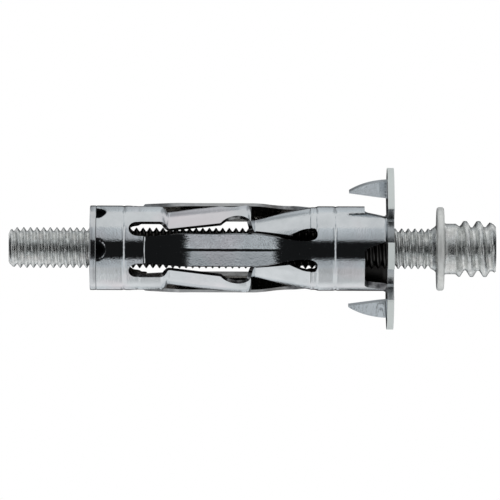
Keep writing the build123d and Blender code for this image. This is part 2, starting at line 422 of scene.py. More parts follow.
@dataclass
class Sleeve:
    """The slotted sleeve: housing ring, six legs, front ring, throat, flange and claws."""

    sizes: SleeveSizes = field(default_factory=SleeveSizes)
    flat: FlatLegSizes = field(default_factory=FlatLegSizes)
    kinked: KinkedLegSizes = field(default_factory=KinkedLegSizes)
    flange: FlangeSizes = field(default_factory=FlangeSizes)
    leg_columns: int = 14
    round_columns: int = 12
    spacing: float = 0.16
    housing_marks: tuple[float, ...] = (-33.5, -32.2, -31.35)
    housing_steps: tuple[int, ...] = (21, 8, 14)
    slot_steps: int = 8
    ring_marks: tuple[float, ...] = (-8.18, -6.8, -5.6)
    ring_steps: tuple[int, ...] = (11, 18, 19)
    keyhole_steps: int = 10
    open_column: float = 1.5
    plate_steps: tuple[int, ...] = (8, 12, 7)
    foot_steps: int = 8
    neck_steps: int = 12
    claw_fold_steps: int = 6
    claw_steps: tuple[int, int] = (33, 12)

    def __post_init__(self) -> None:
        """Work out the angles and lines that several blocks share."""
        size = self.sizes
        self.slot_clock = size.clock_half(size.slot_half)
        self.keyhole_clock = size.clock_half(size.keyhole_half)
        self.root_half = size.middle * math.sin(math.radians(size.leg_angle / 2 - self.slot_clock))
        self.slot_end = size.leg_root + size.slot_half
        self.keyhole_end = size.ring_back - size.keyhole_half
        flat_edge = size.keyhole_angle - self.keyhole_clock
        kinked_edge = size.leg_angle - size.keyhole_angle - self.keyhole_clock
        self.flat_heel = size.middle * math.sin(math.radians(flat_edge))
        self.kinked_heel = size.middle * math.sin(math.radians(kinked_edge))
        line = inset_line(np.array(self.kinked.folds), size.sheet / 2)
        line = rounded_line(line, self.kinked.bend_cut, self.kinked.bend_steps, self.spacing)
        line[:, 1] += (size.sheet - size.leg_sheet) / 2 * self.thinned(line[:, 0])
        self.fold_line = line
        self.half_columns = self.leg_columns + self.round_columns
        self.neck_middles = [size.leg_angle / 2 + 2 * size.leg_angle * third for third in range(3)]

    def thinned(self, x: Array) -> Array:
        """Share of the legs' thinner sheet at each station, eased in and out at the legs' ends."""
        start, end, fade = self.slot_end, self.keyhole_end, self.sizes.leg_fade
        return ease(x, start, start + fade) * (1.0 - ease(x, end - fade, end))

    def bead(self, x: Array) -> Array:
        """Depth of the rolled beads: a bell curve exp(-(d / half)^2) at each station."""
        size = self.sizes
        bells = [np.exp(-(((x - middle) / size.bead_half) ** 2)) for middle in size.bead_stations]
        return size.bead_depth * sum(bells)

    def from_stake(self, x: Array, angle: Array) -> Array:
        """Distance on the tube from the middle of the nearest staking mark.

        Args:
            x: Stations along the axis.
            angle: Clock angles in degrees.

        Returns:
            The distance in millimetres at each point.
        """
        size = self.sizes
        reach = np.full(np.broadcast(x, angle).shape, np.inf)
        for clock in size.stake_angles:
            away = np.radians(off_clock(angle, clock)) * size.tube_radius
            reach = np.minimum(reach, np.hypot(x - size.sleeve_end, away))
        return reach

    def housing(self, sheet: SheetMesh) -> None:
        """Housing ring: radius = middle - bead - stake; its far edge follows the round slot ends.

        A stake is eased from its full depth to nothing at its round edge.
        """
        size = self.sizes
        leg = np.linspace(-1.0, 1.0, self.leg_columns + 1) * self.root_half / size.middle
        leg_turn = np.degrees(np.arcsin(leg))
        arc = np.radians(np.linspace(-90.0, 90.0, self.round_columns + 1))
        slot_turn = np.degrees(np.arcsin(np.sin(arc) * math.sin(math.radians(self.slot_clock))))
        slot_back = self.slot_end - size.slot_half * np.cos(arc)
        leg_end = np.full(leg_turn.shape, self.slot_end)
        turns, ends = [leg_turn], [leg_end]
        for centre in size.leg_angle * np.arange(6):
            turns.append((centre + size.leg_angle / 2 + slot_turn)[1:])
            turns.append((centre + size.leg_angle + leg_turn)[1:])
            ends += [slot_back[1:], leg_end[1:]]
        angle = np.concatenate(turns)[None, :]
        end = np.concatenate(ends)[None, :]
        last = self.housing_marks[-1]
        rows = banded((size.sleeve_end, *self.housing_marks), self.housing_steps)
        x = np.repeat(rows[:, None], angle.shape[1], axis=1)
        share = np.linspace(0.0, 1.0, self.slot_steps + 1)[1:, None]
        x = np.concatenate([x, last + (end - last) * share])
        angle = np.broadcast_to(angle, x.shape)
        away = self.from_stake(x, angle)
        stake = 1.0 - ease(away, size.stake_radius - size.stake_rim, size.stake_radius)
        radius = size.middle - self.bead(x) - size.stake_depth * stake
        sheet.add(around(x, radius, angle))

    def flat_leg(self, sheet: SheetMesh, clock: float) -> None:
        """Flat leg: height = (1 - b) sqrt(R^2 - t^2) + b (R + rise + depth c (|t| / half - 1)).

        b is the share of the flat panel and c the share of the crease at a station.

        Args:
            sheet: The surface that takes the leg.
            clock: Clock angle of the leg in degrees.
        """
        size, leg = self.sizes, self.flat
        step_start, step_end = leg.start - leg.step, leg.start + leg.step
        knots = (self.slot_end, step_start, step_end, self.keyhole_end)
        root_rows = math.ceil((step_start - self.slot_end) / self.spacing)
        panel_rows = math.ceil((self.keyhole_end - step_end) / self.spacing)
        x = banded(knots, (root_rows, leg.step_rows, panel_rows))[:, None]
        half = np.interp(x, [leg.start, leg.flare_end], [self.root_half, leg.half_width])
        half = half + (self.flat_heel - leg.half_width) * ease(x, leg.taper_start, leg.taper_end)
        side = half * np.linspace(-1.0, 1.0, self.leg_columns + 1)[None, :]
        panel = ease(x, step_start, step_end) * (1.0 - ease(x, leg.end, leg.end + leg.end_run))
        crease = np.clip((x - leg.crease_start) / leg.crease_run, 0.0, 1.0)
        crease = np.minimum(crease, np.clip((leg.crease_end - x) / leg.crease_run, 0.0, 1.0))
        middle = size.middle + (size.sheet - size.leg_sheet) / 2 * self.thinned(x)
        flat = middle + leg.rise + leg.crease_depth * crease * (np.abs(side) / leg.half_width - 1.0)
        height = (1.0 - panel) * np.sqrt(middle**2 - side**2) + panel * flat
        sheet.add(on_leg(x, height, side, clock))

    def kinked_half(self, x: Array) -> Array:
        """Half width of a kinked leg: straight runs between stations, less two round scallops.

        Args:
            x: Stations along the axis.

        Returns:
            The half width at each station.
        """
        leg = self.kinked
        outline = [
            (leg.widen_start, self.root_half),
            (leg.widen_end, leg.half_width),
            (leg.step, leg.half_width),
            (leg.foot, leg.heel_half),
            (leg.shovel, leg.shovel_half),
            (self.sizes.ring_back - self.sizes.keyhole_length, self.kinked_heel + leg.end_flare),
            (self.keyhole_end, self.kinked_heel),
        ]
        half = np.interp(x, *np.transpose(outline))
        radius = (leg.scallop_half**2 + leg.scallop_depth**2) / (2 * leg.scallop_depth)
        away = np.minimum(np.abs(x - leg.scallop_middle), leg.scallop_half)
        bite = np.sqrt(radius**2 - away**2) - (radius - leg.scallop_depth)
        return half - bite

    def kinked_leg(self, sheet: SheetMesh, clock: float) -> None:
        """Kinked leg: height = sqrt(fold radius^2 - t^2), rows along the rounded fold line.

        Args:
            sheet: The surface that takes the leg.
            clock: Clock angle of the leg in degrees.
        """
        line = self.fold_line[:, 0]
        inside = line[(line > self.slot_end) & (line < self.keyhole_end)]
        x = np.concatenate([[self.slot_end], inside, [self.keyhole_end]])[:, None]
        radius = np.interp(x, line, self.fold_line[:, 1])
        side = self.kinked_half(x) * np.linspace(-1.0, 1.0, self.leg_columns + 1)[None, :]
        sheet.add(on_leg(x, np.sqrt(radius**2 - side**2), side, clock))

    def neck_half(self, x: Array) -> Array:
        """Half angle of a neck: falls evenly from its base to its mouth, with a round foot.

        Args:
            x: Stations along the axis.

        Returns:
            The half angle in degrees at each station.
        """
        size, neck = self.sizes, self.flange
        share = np.clip((x - size.ring_front) / -size.ring_front, 0.0, 1.0)
        into = np.clip(1.0 - (x - size.ring_front) / neck.window_corner, 0.0, 1.0)
        flare = neck.window_corner * round_foot(into) / size.middle
        return neck.neck_base - (neck.neck_base - neck.neck_mouth) * share + np.degrees(flare)

    def front_ring(self, sheet: SheetMesh) -> None:
        """Front ring: radius = middle - bead, eased to the fold line over a kinked leg's heel.

        Its back edge follows the round keyholes, and its columns slide from the legs'
        edges at the back to the necks' edges at the front.
        """
        size = self.sizes
        share = np.linspace(0.0, 1.0, self.leg_columns // 2 + 1)
        arc = np.radians(np.linspace(-90.0, 90.0, self.round_columns + 1)[1:-1])
        bow = np.sin(arc)
        flat = np.degrees(np.arcsin(share * self.flat_heel / size.middle))
        keyhole = np.degrees(np.arcsin(bow * math.sin(math.radians(self.keyhole_clock))))
        kinked = np.degrees(np.arcsin(share[::-1] * self.kinked_heel / size.middle))
        back = np.concatenate([flat, size.keyhole_angle + keyhole, size.leg_angle - kinked])
        rim = self.keyhole_end + size.keyhole_half * np.cos(arc)
        plain = np.full(share.shape, self.keyhole_end)
        rim = np.concatenate([plain, rim, plain])
        heel = np.concatenate([0.0 * share, 0.5 + 0.5 * bow, 0.0 * share + 1.0])
        foot = float(self.neck_half(np.array(size.ring_front)))
        middle = size.leg_angle / 2
        neck = np.linspace(middle - foot, middle + foot, self.half_columns + 1)
        next_neck = 2 * size.leg_angle + middle
        window = np.linspace(middle + foot, next_neck - foot, self.half_columns + 1)
        backs, fronts, rims, heels = [back[:1]], [neck[:1]], [rim[:1]], [heel[:1]]
        for third in range(3):
            turn = 2 * size.leg_angle * third
            backs += [turn + back[1:], turn + 2 * size.leg_angle - back[::-1][1:]]
            fronts += [turn + neck[1:], turn + window[1:]]
            rims += [rim[1:], rim[::-1][1:]]
            heels += [heel[1:], heel[::-1][1:]]
        back, front = np.concatenate(backs)[None, :], np.concatenate(fronts)[None, :]
        rim, heel = np.concatenate(rims)[None, :], np.concatenate(heels)[None, :]
        first = self.ring_marks[0]
        x = rim + (first - rim) * np.linspace(0.0, 1.0, self.keyhole_steps + 1)[:, None]
        rows = banded((*self.ring_marks, size.ring_front), self.ring_steps)
        x = np.concatenate([x, np.repeat(rows[1:, None], x.shape[1], axis=1)])
        angle = back + (front - back) * ease(x, first, size.ring_front)
        fold = np.interp(x, self.fold_line[:, 0], self.fold_line[:, 1])
        lip_start, lip_end = self.kinked.lip_end
        lip = 1.0 - ease(x, size.ring_back + lip_start, size.ring_back + lip_end)
        lip = lip * ease(x, self.keyhole_end, self.keyhole_end + self.kinked.lip_fade)
        fold = fold - self.kinked.lip_depth * heel * lip
        sheet.add(around(x, size.middle - self.bead(x) - heel * (size.middle - fold), angle))

    def flange_columns(self) -> Array:
        """Clock angles of the flange's columns, which meet every notch, claw and neck edge."""
        neck = self.flange
        sides = (-1, 1)
        knots = [notch + side * neck.notch_half for notch in neck.notches for side in sides]
        for clock in neck.claw_clocks:
            knots += [clock - self.claw_start(neck.claw_inner), clock + self.lance_end()]
        mouths = [middle + side * neck.neck_mouth for middle in self.neck_middles for side in sides]
        start = mouths[0]
        wrapped = sorted({round((knot - start) % 360.0 + start, 6) for knot in knots})
        majors = mouths + [start + 360.0]
        runs = []
        for low, high in zip(majors[:-1], majors[1:]):
            inner = [knot for knot in wrapped if low + NEAR_DEGREES < knot < high - NEAR_DEGREES]
            is_open = low in (mouths[1], mouths[5])
            count = round((high - low) / self.open_column) if is_open else self.half_columns
            runs.append(spread([low, *inner, high], count))
        return joined(*runs)

    def claw_start(self, radius: float) -> float:
        """Angle in degrees between a claw's middle plane and its fold, at a radius."""
        return math.degrees(math.asin(self.flange.claw_bend / radius))

    def lance_end(self) -> float:
        """Angle in degrees at which the hole left by a claw ends."""
        neck = self.flange
        return math.degrees(math.asin((neck.claw_length + self.sizes.sheet / 2) / neck.claw_outer))

    def lance_inner(self, away: Array) -> Array:
        """Inner edge of the hole left by a claw, on a straight line in the flange's plane.

        The radius on a ray is offset / (cos(away) - slope sin(away)).

        Args:
            away: Angles in degrees from the claw's middle plane.

        Returns:
            The radius of the edge at each angle.
        """
        neck, size = self.flange, self.sizes
        length = neck.claw_length + size.sheet / 2
        tip = math.sqrt(neck.claw_outer**2 - length**2) - neck.claw_point
        slope = (tip - neck.claw_inner) / (length - size.sheet / 2)
        offset = neck.claw_inner - slope * size.sheet / 2
        turn = np.radians(away)
        return np.where(
            np.sin(turn) * neck.claw_inner < size.sheet / 2,
            neck.claw_inner / np.cos(turn),
            offset / (np.cos(turn) - slope * np.sin(turn)),
        )

    def plate(self, sheet: SheetMesh) -> None:
        """Flange: a polar grid in three bands, without the notches and the claws' holes.

        The inner band ends on the notches' floors and on the inner edges of the holes,
        the middle band ends at the claws' outer radius, the outer band at the rim.
        """
        neck, size = self.flange, self.sizes
        angle = self.flange_columns()
        split = np.full(angle.shape, neck.plain_band)
        centres = (angle[:-1] + angle[1:]) / 2
        in_notch = np.zeros(centres.shape, dtype=bool)
        in_lance = np.zeros(centres.shape, dtype=bool)
        half, corner = neck.notch_half, neck.notch_corner
        beside = neck.notch_floor + corner - neck.plain_band
        for notch in neck.notches:
            away = np.abs(off_clock(angle, notch))
            floor = neck.notch_floor * math.cos(math.radians(half)) / np.cos(np.radians(away))
            wall = floor * np.sin(np.radians(half - away))
            floor = floor + corner * round_foot(np.clip(1.0 - wall / corner, 0.0, 1.0))
            beyond = neck.plain_band + beside * (1.0 - ease(away, half, half + neck.notch_fade))
            inside = away <= half + NEAR_DEGREES / 2
            split = np.where(inside, floor, np.maximum(split, beyond))
            in_notch |= np.abs(off_clock(centres, notch)) < half
        start, end = -self.claw_start(neck.claw_inner), self.lance_end()
        for clock in neck.claw_clocks:
            away = off_clock(angle, clock)
            edge = self.lance_inner(np.clip(away, start, end))
            past = np.maximum(start - away, away - end)
            near = np.clip(1.0 - past / neck.lance_fade, 0.0, 1.0)
            split = np.where(near > 0.0, neck.plain_band + (edge - neck.plain_band) * near, split)
            away = off_clock(centres, clock)
            in_lance |= (away > start) & (away < end)
        radii = (size.middle + neck.bend, split, neck.claw_outer, neck.radius)
        keeps = (in_notch | True, ~in_notch & ~in_lance, ~in_notch)
        for low, high, count, keep in zip(radii[:-1], radii[1:], self.plate_steps, keeps):
            share = np.linspace(0.0, 1.0, count + 1)[:, None]
            radius = low + (high - low) * share
            radius, turned = np.broadcast_arrays(radius, angle)
            for clock in neck.claw_clocks:
                on_fold = np.abs(off_clock(angle, clock + start)) < NEAR_DEGREES / 2
                lean = np.arcsin(neck.claw_bend / np.maximum(radius, neck.claw_inner))
                turned = np.where(on_fold, clock - np.degrees(lean), turned)
            cells = np.broadcast_to(keep, (count, len(keep)))
            sheet.add(around(neck.plate_middle, radius, turned), cells)

    def necks(self, sheet: SheetMesh) -> None:
        """Necks from the ring to the flange: sectors of the tube, then a quarter round out.

        The third gap between the necks is closed by a sector of its own.
        """
        neck, size = self.flange, self.sizes
        arc = np.radians(np.linspace(0.0, 90.0, self.foot_steps + 1))
        foot = size.ring_front + neck.window_corner * (1.0 - np.cos(arc))
        bend_start = neck.plate_middle - neck.bend
        x = joined(foot, np.linspace(foot[-1], bend_start, self.neck_steps + 1))
        radius = np.full(x.shape, size.middle)
        swing = np.radians(np.linspace(0.0, 90.0, self.neck_steps + 1))
        x = joined(x, bend_start + neck.bend * np.sin(swing))[:, None]
        radius = joined(radius, size.middle + neck.bend * (1.0 - np.cos(swing)))[:, None]
        columns = self.flange_columns()
        along = np.linspace(0.0, 1.0, len(x))[:, None]
        even = np.linspace(0.0, 1.0, self.half_columns + 1)[None, :]
        half = self.neck_half(x)
        sectors = [(middle - half, middle + half) for middle in self.neck_middles]
        sectors.append((self.neck_middles[1] + half, self.neck_middles[2] - half))
        for low, high in sectors:
            first, last = low[-1] - NEAR_DEGREES / 2, high[-1] + NEAR_DEGREES / 2
            mouth = columns[(columns > first) & (columns < last)]
            share = ((mouth - low[-1]) / (high[-1] - low[-1]))[None, :]
            share = even + (share - even) * along
            sheet.add(around(x, radius, low + (high - low) * share))

    def claws(self, sheet: SheetMesh) -> None:
        """Claws: a quarter round out of the plate, then a thorn with a curved and a straight edge.

        The outer edge lies at sqrt(outer^2 - x^2) and the inner edge runs straight to the tip.
        Beyond the fold the blade twists: side = -(height - inner) tan(twist), eased in.
        """
        neck = self.flange
        swing = np.radians(np.linspace(0.0, 90.0, self.claw_fold_steps + 1))
        centre = neck.plate_middle - neck.claw_bend
        rows, columns = self.claw_steps
        blade = np.linspace(centre, -neck.claw_length, rows + 1)
        x = joined(centre + neck.claw_bend * np.cos(swing), blade)
        side = -neck.claw_bend * (1.0 - np.sin(swing))
        side = np.concatenate([side, np.zeros(len(x) - len(side))])
        depth = np.maximum(-x, 0.0)
        tip = math.sqrt(neck.claw_outer**2 - neck.claw_length**2) - neck.claw_point
        low = neck.claw_inner + (tip - neck.claw_inner) * depth / neck.claw_length
        high = np.sqrt(neck.claw_outer**2 - depth**2)
        share = np.linspace(0.0, 1.0, columns + 1)[:, None]
        start = float(self.lance_inner(np.array(-self.claw_start(neck.claw_inner))))
        fold = np.sqrt((start + (neck.claw_outer - start) * share) ** 2 - neck.claw_bend**2)
        height = low + (high - low) * share
        height = np.concatenate([fold, height[:, 1:]], axis=1)
        twist = math.tan(math.radians(neck.claw_twist)) * ease(depth, 0.0, neck.twist_run)
        side = side[None, :] - twist * (height - neck.claw_inner)
        for clock in neck.claw_clocks:
            sheet.add(on_leg(x[None, :], height, side, clock))

    def build(self) -> Piece:
        """Weld all blocks into the middle surface and give it the sheet's thickness.

        Returns:
            The sleeve, with its distances from the staking marks and from the axis.
        """
        size = self.sizes
        sheet = SheetMesh()
        self.housing(sheet)
        for third in range(3):
            clock = 2 * size.leg_angle * third
            self.flat_leg(sheet, clock)
            self.kinked_leg(sheet, clock + size.leg_angle)
        self.front_ring(sheet)
        self.necks(sheet)
        self.plate(sheet)
        self.claws(sheet)
        piece = sheet.build("sleeve_sheet", 0.008)
        points = corners(piece)
        clock = np.degrees(np.arctan2(points[:, 2], -points[:, 1]))
        # These fields are masks of painted shade: from_stake for the staking dents, from_axis for
        # the cut edges and inner side, along for the throat.
        write_field(piece, "from_stake", self.from_stake(points[:, 0], clock))
        write_field(piece, "from_axis", np.hypot(points[:, 1], points[:, 2]))
        write_field(piece, "along", points[:, 0])
        full = piece.vertex_groups.new(name="full_sheet")
        share = np.round(1.0 - self.thinned(points[:, 0]) * (points[:, 0] < self.keyhole_end), 2)
        for weight in np.unique(share):
            full.add(np.flatnonzero(share == weight).tolist(), float(weight), "REPLACE")
        wall = piece.modifiers.new("wall", "SOLIDIFY")
        wall.thickness = size.sheet * MM
        wall.vertex_group = full.name
        wall.thickness_vertex_group = size.leg_sheet / size.sheet
        wall.offset = 0.0
        wall.material_offset = 2
        wall.material_offset_rim = 1
        edge = piece.modifiers.new("edge", "BEVEL")
        edge.width = size.edge_round * MM
        edge.segments = 2
        edge.limit_method = "ANGLE"
        edge.angle_limit = math.radians(size.edge_angle)
        edge.use_clamp_overlap = True
        edge.harden_normals = True
        return piece


# ---------------------------------------------------------------- nut and stud
@dataclass(frozen=True)
class NutSizes:
    """Sizes of the pressed-in nut, in millimetres."""

    back: float = -35.8
    seat: float = -35.0
    front: float = -31.6
    radius: float = 5.1
    body_radius: float = 4.28
    bore: float = 2.52
    rim_round: float = 0.28
    mouth: float = 0.25
    seat_gap: float = 0.02


@dataclass
class Nut:
    """The flanged round nut in the sleeve's end."""

    sizes: NutSizes = field(default_factory=NutSizes)
    columns: int = 144
    corner_steps: int = 5
    spacing: float = 0.35
    sharp_angle: float = 40.0

    def profile(self) -> Array:
        """Closed outline as station and radius, with quarter rounds on the flange's rim."""
        size = self.sizes
        seat = size.seat - size.seat_gap
        outline = [
            (size.back, size.bore + size.mouth),
            (size.back, size.radius),
            (seat, size.radius),
            (seat, size.body_radius),
            (size.front, size.body_radius),
            (size.front, size.bore + size.mouth),
        ]
        cut = size.rim_round / 2
        line = rounded_line(np.array(outline), cut, self.corner_steps, self.spacing)
        bore = [[size.front - size.mouth, size.bore], [size.back + size.mouth, size.bore], line[0]]
        return np.concatenate([line, np.array(bore)])

    def build(self) -> Piece:
        """Turn the outline about the axis: each outline point goes round at its own radius."""
        line = self.profile()
        angle = np.linspace(0.0, 360.0, self.columns + 1)[None, :]
        sheet = SheetMesh()
        sheet.add(around(line[:, :1], line[:, 1:], angle))
        piece = sheet.build("nut_turned", 0.002)
        piece.data.set_sharp_from_angle(angle=math.radians(self.sharp_angle))
        return piece


@dataclass(frozen=True)
class ThreadSizes:
    """One thread: pitch, radii, flats and the stations between which it runs, in millimetres."""

    pitch: float
    root: float
    crest: float
    foot: float
    top: float
    start: float
    end: float
    clock: float = 0.0
    soften: float = 0.12


@dataclass(frozen=True)
class StudSizes:
    """Sizes of the combination stud, in millimetres.

    The tip's rows are a distance from the tip and the largest radius there.
    """

    tip: float = -45.6
    tip_rows: tuple[Pair, ...] = ((0.0, 1.7), (0.18, 2.12), (0.5, 2.3), (1.0, 2.45))
    thread_out: float = 0.4
    cone_start: float = 5.5
    cone_foot: float = 2.47
    cone_radius: float = 2.85
    collar_back: float = 6.0
    collar_front: float = 6.9
    collar_radius: float = 5.05
    collar_round: float = 0.36
    neck_radius: float = 3.05
    neck_end: float = 8.3
    clip_root_in: float = 0.7
    clip_crest_in: float = 0.4
    clip_crest_out: float = 1.1
    clip_chamfer: float = 0.35
    end: float = 13.15
    end_radius: float = 2.7
    recess_middle: float = 1.65
    recess_wave: float = 0.3
    recess_depth: float = 2.0
    recess_cone: float = 0.5
    recess_lobes: int = 6
    shade_middle: float = -16.6


@dataclass
class Stud:
    """The stud: metric thread, collar, neck, coarse clip thread and driver recess."""

    sizes: StudSizes = field(default_factory=StudSizes)
    metric: ThreadSizes = ThreadSizes(0.8, 2.02, 2.45, 0.66, 0.1, -45.6, 5.45, 0.0, 0.1)
    clip: ThreadSizes = ThreadSizes(1.6, 2.58, 3.4, 1.3, 0.4, 8.3, 13.15, 170.0, 0.25)
    columns: int = 72
    cap_steps: int = 3
    corner_steps: int = 7
    spacing: float = 0.3
    sharp_angle: float = 55.0

    def ridge(self, thread: ThreadSizes, share: Array) -> Array:
        """Radius across one pitch: a flank between foot and top width, both corners softened.

        Args:
            thread: The thread.
            share: Place across the pitch, from 0 to 1, with the crest at 0.5.

        Returns:
            The radius at each place.
        """
        away = np.abs(share - 0.5) * thread.pitch
        slope = (thread.foot - thread.top) / 2
        flank = np.clip((thread.foot / 2 - away) / slope, -0.3, 1.3)
        soft = thread.soften
        top = 1 - soft
        flank = np.where(flank > top, top + soft * np.tanh((flank - top) / soft), flank)
        flank = np.where(flank < soft, soft + soft * np.tanh((flank - soft) / soft), flank)
        return thread.root + (thread.crest - thread.root) * np.clip(flank, 0.0, 1.0)

    def helix(self, thread: ThreadSizes, low: Array, high: Array) -> Array:
        """Thread surface with rows along the helix: x = start + pitch (row - turn).

        Rows outside the thread's stations are pressed flat onto its ends, where they weld.
        The radius is the ridge's, kept between two envelopes over the station.

        Args:
            thread: The thread.
            low: Knots of the lower envelope as rows of station and radius.
            high: Knots of the upper envelope as rows of station and radius.

        Returns:
            A grid of points.
        """
        foot, top = thread.foot / 2 / thread.pitch, thread.top / 2 / thread.pitch
        marks = np.array([0.0, 0.5 - foot, 0.5 - top, 0.5 + top, 0.5 + foot, 1.0])
        halves = np.arange(0.0, len(marks) - 1, 0.5)
        marks = np.interp(halves, np.arange(len(marks)), marks)
        turns = math.ceil((thread.end - thread.start) / thread.pitch) + 2
        share = (np.arange(-1, turns)[:, None] + marks[None, :]).ravel()[:, None]
        turn = np.linspace(0.0, 1.0, self.columns + 1)[None, :]
        x = thread.start + thread.pitch * (share - turn)
        radius = np.broadcast_to(self.ridge(thread, share % 1.0), x.shape)
        x = np.clip(x, thread.start, thread.end)
        radius = np.maximum(radius, np.interp(x, low[:, 0], low[:, 1]))
        radius = np.minimum(radius, np.interp(x, high[:, 0], high[:, 1]))
        return around(x, radius, 360.0 * turn + thread.clock)

    def build(self) -> Piece:
        """Join the tip, metric thread, collar, clip thread and recess into one closed surface."""
        size, metric, clip = self.sizes, self.metric, self.clip
        sheet = SheetMesh()
        turn = np.linspace(0.0, 360.0, self.columns + 1)[None, :]
        share = np.linspace(0.0, 1.0, self.cap_steps + 1)[:, None]
        tip = np.array(size.tip_rows) + (size.tip, 0.0)
        runout = [(size.tip, 0.0), (metric.end - size.thread_out, metric.root)]
        runout.append((metric.end, metric.crest))
        sheet.add(self.helix(metric, np.array(runout), tip))
        sheet.add(around(np.array([[size.tip]]), tip[0, 1] * share, turn + metric.clock))
        collar = [
            (metric.end, metric.crest),
            (size.cone_start, size.cone_foot),
            (size.collar_back, size.cone_radius),
            (size.collar_back, size.collar_radius),
            (size.collar_front, size.collar_radius),
            (size.collar_front, size.neck_radius),
            (size.neck_end, size.neck_radius),
        ]
        line = rounded_line(np.array(collar), size.collar_round, self.corner_steps, self.spacing)
        sheet.add(around(line[:, :1], line[:, 1:], turn))
        start, end = (clip.start, size.neck_radius), (clip.end, size.end_radius)
        low = [start, (clip.start + size.clip_root_in, clip.root), end]
        high = [
            start,
            (clip.start + size.clip_crest_in, clip.crest),
            (clip.end - size.clip_crest_out, clip.crest),
            (clip.end - size.clip_chamfer, clip.crest - size.clip_chamfer),
            end,
        ]
        sheet.add(self.helix(clip, np.array(low), np.array(high)))
        wave = np.cos(np.radians(size.recess_lobes * turn))
        lobes = size.recess_middle + size.recess_wave * wave
        face = size.end_radius + (lobes - size.end_radius) * share
        sheet.add(around(np.array([[size.end]]), face, turn))
        sheet.add(around(size.end - size.recess_depth * share, lobes, turn))
        floor = size.end - size.recess_depth - size.recess_cone * share
        sheet.add(around(floor, lobes * (1.0 - share), turn))
        piece = sheet.build("stud_turned", 0.004)
        x = corners(piece)[:, 0]
        # Distance from the middle of the thread's painted shade inside the sleeve.
        write_field(piece, "from_middle", np.abs(x - size.shade_middle))
        write_field(piece, "from_collar", np.abs(x - (size.collar_back + size.collar_front) / 2))
        piece.data.set_sharp_from_angle(angle=math.radians(self.sharp_angle))
        return piece


# ---------------------------------------------------------------- finishes
TOOL_LINES = 9000.0
TINT_SCALE = 0.45
TINT_SHARE = 0.55
# Colour of the painted highlight on pointed edges.
EDGE_HIGHLIGHT = (0.85, 0.87, 0.88)


@dataclass(frozen=True)
class Patch:
    """A part of a piece with its own look or painted shade, where an attribute lies
    past an edge.

    The patch is absent at the first edge value and reaches its share at the second one.
    """

    attribute: str
    edge: Pair
    colour: Triple
    gloss: float
    metal: float = 1.0
    share: float = 1.0


@dataclass(frozen=True)
class Finish:
    """A zinc-plated finish.

    Two greys and a tint mix in clouds, gloss is the roughness of the light and the dark
    grey, grain and cloud are noise scales, and edge_light and turned are the shares of a
    painted highlight on pointed edges and of tool lines.
    """

    name: str
    light: Triple
    dark: Triple
    tint: Triple
    gloss_low: float
    gloss_high: float
    grain: float
    grain_height: float
    cloud: float
    edge_light: float
    turned: float = 0.0


# fmt: off
BRIGHT = Finish(
    "bright_zinc", (0.66, 0.69, 0.71), (0.55, 0.58, 0.60), (0.72, 0.63, 0.66),
    0.05, 0.11, 5600.0, 1.4e-5, 260.0, 0.0,
)
# Painted shade: the sheet's cut edges are painted nearly black for the dark they mirror and the
# shade beside them; the cloud's lighter grey makes painted glints on them.
SHADED_CUT = Finish(
    "cut_edge_shaded_zinc", (0.30, 0.31, 0.32), (0.03, 0.03, 0.035), (0.16, 0.15, 0.14),
    0.10, 0.22, 3000.0, 8.0e-6, 900.0, 0.05,
)
# Painted shade: the sheet's inner side is painted dark grey for the shade inside the sleeve.
SHADED_INSIDE = Finish(
    "inner_shaded_zinc", (0.30, 0.29, 0.27), (0.14, 0.13, 0.12), (0.24, 0.21, 0.17),
    0.14, 0.30, 3200.0, 8.0e-6, 600.0, 0.1,
)
NUT_ZINC = Finish(
    "nut_zinc", (0.64, 0.66, 0.68), (0.50, 0.52, 0.54), (0.64, 0.62, 0.60),
    0.10, 0.22, 3600.0, 6.0e-6, 380.0, 0.3,
)
STUD_ZINC = Finish(
    "stud_zinc", (0.88, 0.90, 0.89), (0.52, 0.53, 0.52), (0.74, 0.71, 0.70),
    0.16, 0.36, 5200.0, 2.2e-5, 1500.0, 0.3, 0.4,
)
# fmt: on
# Painted shade: the staking dents are painted near black, in colour and specular tint, for the
# shade in the pits.
STAKE_SHADE = Patch("from_stake", (1.28, 1.22), (0.008, 0.009, 0.010), 0.35)
# LEG_EDGE and RIM lift the cut edges' painted shade: mid grey where edges stand out of the tube,
# matte light grey on the flange's rim.
LEG_EDGE = Patch("from_axis", (5.2, 5.35), (0.52, 0.54, 0.55), 0.25)
RIM = Patch("from_axis", (9.35, 9.45), (0.66, 0.70, 0.69), 0.7, 0.3)
# OPEN lifts the inner side's painted shade beyond radius 5.9, on the flange and the claws, where
# that side lies in the open.
OPEN = Patch("from_axis", (5.5, 5.9), (0.62, 0.65, 0.67), 0.10)
# Painted shade: the stud's thread inside the sleeve is painted nearly black for the shade there.
STUD_SHADE = Patch("from_middle", (17.3, 16.9), (0.085, 0.083, 0.08), 0.3)
# Painted shade: the inner side in the throat, from x = -6 forward, is painted near black.
THROAT_SHADE = Patch("along", (-6.6, -6.0), (0.035, 0.034, 0.033), 0.35)
COLLAR = Patch("from_collar", (0.52, 0.46), (0.78, 0.79, 0.77), 0.6, 0.5, 0.6)


